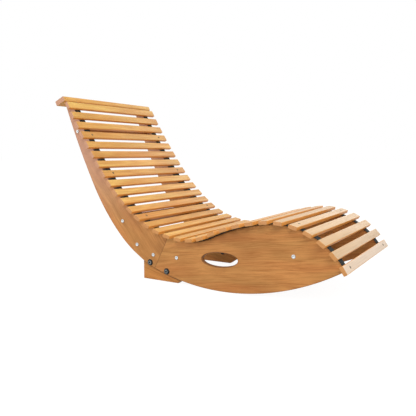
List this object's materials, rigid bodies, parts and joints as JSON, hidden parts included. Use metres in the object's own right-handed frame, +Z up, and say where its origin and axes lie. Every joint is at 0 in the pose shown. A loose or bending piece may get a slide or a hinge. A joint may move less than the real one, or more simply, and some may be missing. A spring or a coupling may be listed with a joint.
{
  "type": "rocking chaise lounge",
  "caption": "Slatted wooden rocking lounger with curved side panels, rocker arcs, hand holes and stop blocks behind the rockers.",
  "frame": {"origin": "on the floor, below the middle of the whole length and width", "axes": "+X from the head end to the foot, +Y to the sitter's left, +Z up"},
  "size_m": [1.2982, 0.6, 0.7673],
  "materials": {
    "slat_wood": "oiled, satin",
    "side_wood": "oiled, satin",
    "block_wood": "oiled, satin",
    "webbing": "woven, matt",
    "pale_steel": "zinc plated, satin",
    "dark_steel": "black, semi-gloss"
  },
  "bodies": {
    "root": {"slat_01": "slat_wood", "slat_02": "slat_wood", "slat_03": "slat_wood", "slat_04": "slat_wood", "slat_05": "slat_wood", "slat_06": "slat_wood", "slat_07": "slat_wood", "slat_08": "slat_wood", "slat_09": "slat_wood", "slat_10": "slat_wood", "slat_11": "slat_wood", "slat_12": "slat_wood", "slat_13": "slat_wood", "slat_14": "slat_wood", "slat_15": "slat_wood", "slat_16": "slat_wood", "slat_17": "slat_wood", "slat_18": "slat_wood", "slat_19": "slat_wood", "slat_20": "slat_wood", "slat_21": "slat_wood", "slat_22": "slat_wood", "slat_23": "slat_wood", "slat_24": "slat_wood", "slat_25": "slat_wood", "slat_26": "slat_wood", "slat_27": "slat_wood", "slat_28": "slat_wood", "slat_29": "slat_wood", "slat_30": "slat_wood", "head_cap_board": "slat_wood", "back_board_left": "side_wood", "rocker_board_left": "side_wood", "stop_block_left": "block_wood", "webbing_strap_left": "webbing", "back_board_right": "side_wood", "rocker_board_right": "side_wood", "stop_block_right": "block_wood", "webbing_strap_right": "webbing", "rail_head": "side_wood", "rail_bolt_head_left": "pale_steel", "rail_bolt_head_right": "pale_steel", "rail_back": "side_wood", "rail_bolt_back_left": "pale_steel", "rail_bolt_back_right": "pale_steel", "rail_hip": "side_wood", "rail_bolt_hip_left": "pale_steel", "rail_bolt_hip_right": "pale_steel", "rail_foot": "side_wood", "rail_bolt_foot_left": "pale_steel", "rail_bolt_foot_right": "pale_steel", "block_connector_rear_left": "pale_steel", "block_bolt_rear_left": "dark_steel", "block_connector_rear_right": "pale_steel", "block_bolt_rear_right": "dark_steel", "block_connector_front_left": "pale_steel", "block_bolt_front_left": "dark_steel", "block_connector_front_right": "pale_steel", "block_bolt_front_right": "dark_steel"}
  },
  "joints": []
}
